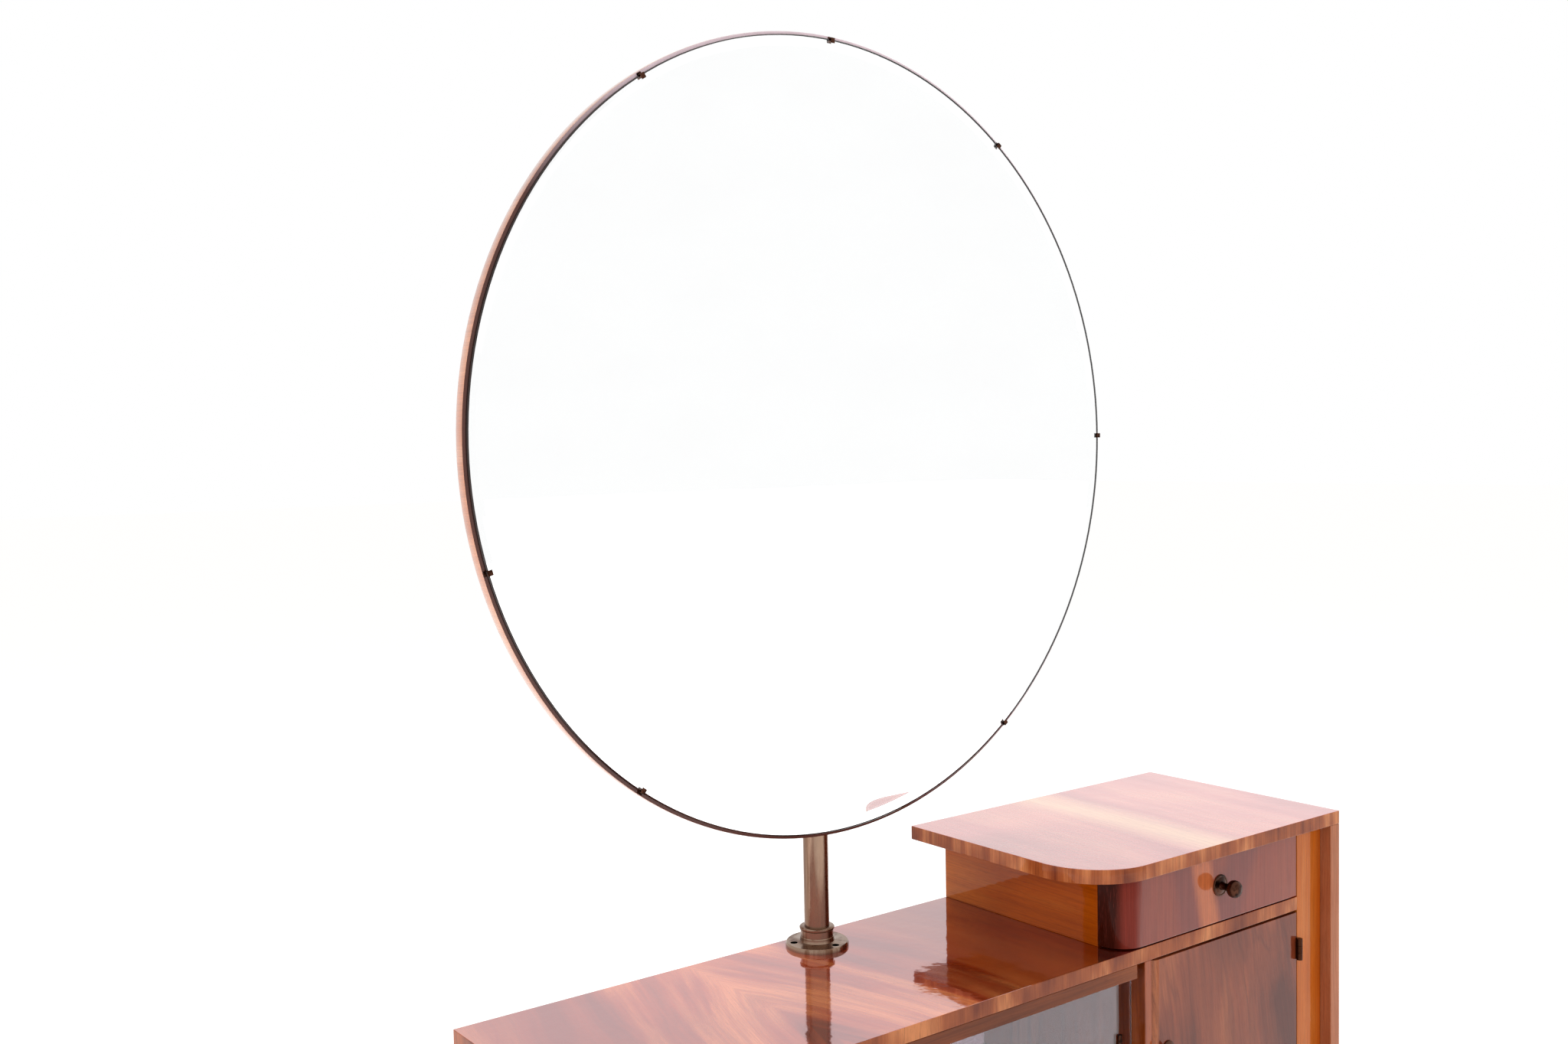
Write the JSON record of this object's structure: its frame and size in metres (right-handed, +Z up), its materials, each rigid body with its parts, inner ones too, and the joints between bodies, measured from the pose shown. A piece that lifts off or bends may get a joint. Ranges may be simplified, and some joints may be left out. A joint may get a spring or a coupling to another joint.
{
  "type": "dressing table",
  "caption": "Low walnut dressing table with a glass-fronted cabinet, a raised drawer and cupboard pedestal, and a round mirror on a turning pole.",
  "frame": {"origin": "centre of the overall footprint, on the floor", "axes": "+X along the length to the pedestal, -Y to the front, +Z up"},
  "size_m": [1.1589, 0.336, 1.608],
  "materials": {
    "walnut_veneer": "glossy French polish",
    "front_veneer": "glossy French polish",
    "inner_veneer": "polished",
    "carcass_wood": "bare, waxed",
    "plinth_stain": "dark satin stain",
    "mirror_back": "stained satin",
    "plated_metal": "polished nickel, lightly worn",
    "old_brass": "polished, darkened with age",
    "plain_steel": "plain, lightly brushed",
    "pane_glass": "clear polished",
    "silvered_glass": "silvered, bevelled"
  },
  "bodies": {
    "case": {"low_top": "walnut_veneer", "upper_glass_track": "walnut_veneer", "lower_glass_track": "walnut_veneer", "left_side": "walnut_veneer", "partition": "walnut_veneer", "bottom_panel": "walnut_veneer", "back_panel": "carcass_wood", "right_side": "walnut_veneer", "front_stile": "walnut_veneer", "upper_side": "inner_veneer", "pedestal_top": "walnut_veneer", "upper_back_panel": "carcass_wood", "plinth_front": "plinth_stain", "plinth_back": "plinth_stain", "plinth_rail": "carcass_wood", "cupboard_shelf": "inner_veneer", "glass_shelf": "pane_glass", "shelf_pins": "plain_steel", "drawer_guide": "carcass_wood", "drawer_kickers": "carcass_wood", "drawer_stop": "carcass_wood", "door_stop": "carcass_wood", "hinge_stile_leaves": "old_brass", "hinge_pins": "old_brass", "hinge_stile_screws": "old_brass", "strike_plate": "old_brass", "pole_socket": "plated_metal", "flange_screws": "old_brass"},
    "drawer": {"drawer_front": "front_veneer", "drawer_left_side": "carcass_wood", "drawer_right_side": "carcass_wood", "drawer_back": "carcass_wood", "drawer_bottom": "carcass_wood", "knob_rosette": "old_brass", "drawer_knob": "old_brass", "knob_screw": "plain_steel"},
    "door": {"door_panel": "front_veneer", "hinge_door_leaves": "old_brass", "hinge_door_screws": "old_brass", "escutcheon": "old_brass", "lock_case": "plain_steel"},
    "bolt": {"lock_bolt": "old_brass"},
    "key": {"door_key": "old_brass"},
    "left_glass": {"left_pane": "pane_glass", "left_pane_grip": "old_brass"},
    "right_glass": {"right_pane": "pane_glass", "right_pane_grip": "old_brass"},
    "post": {"pole": "plated_metal", "tie_rod": "plain_steel", "rod_nut": "plain_steel", "pole_head": "plated_metal"},
    "mirror": {"mirror_board": "mirror_back", "mirror_glass": "silvered_glass", "mirror_clips": "plated_metal", "mirror_plate": "plain_steel", "plate_screws": "plain_steel", "tilt_bolt": "plain_steel", "tilt_nut": "old_brass"}
  },
  "joints": [
    {"name": "drawer_slide", "type": "slide", "parent": "case", "child": "drawer", "axis": [0, -1, 0], "range_m": [0, 0.22]},
    {"name": "door_hinge", "type": "hinge", "parent": "case", "child": "door", "pos_m": [0.50475, -0.1422, 0.28], "axis": [0, 0, 1], "range_deg": [0, 170]},
    {"name": "key_turn", "type": "hinge", "parent": "door", "child": "key", "pos_m": [0.2345, -0.138, 0.37], "axis": [0, 1, 0], "range_deg": [-8, 188]},
    {"name": "bolt_throw", "type": "slide", "parent": "door", "child": "bolt", "axis": [-1, 0, 0], "range_m": [0, 0.006]},
    {"name": "left_pane_slide", "type": "slide", "parent": "case", "child": "left_glass", "axis": [1, 0, 0], "range_m": [-0.115, 0.237]},
    {"name": "right_pane_slide", "type": "slide", "parent": "case", "child": "right_glass", "axis": [1, 0, 0], "range_m": [-0.352, 0]},
    {"name": "pole_swivel", "type": "hinge", "parent": "case", "child": "post", "pos_m": [-0.1045, 0.128, 0.516], "axis": [0, 0, 1], "continuous": true},
    {"name": "mirror_tilt", "type": "hinge", "parent": "post", "child": "mirror", "pos_m": [-0.1045, 0.114, 1.133], "axis": [1, 0, 0], "range_deg": [-15, 1.4]}
  ],
  "couplings": [
    {"joint": "key_turn", "follows": "bolt_throw", "rad_per_m": 523.6}
  ]
}
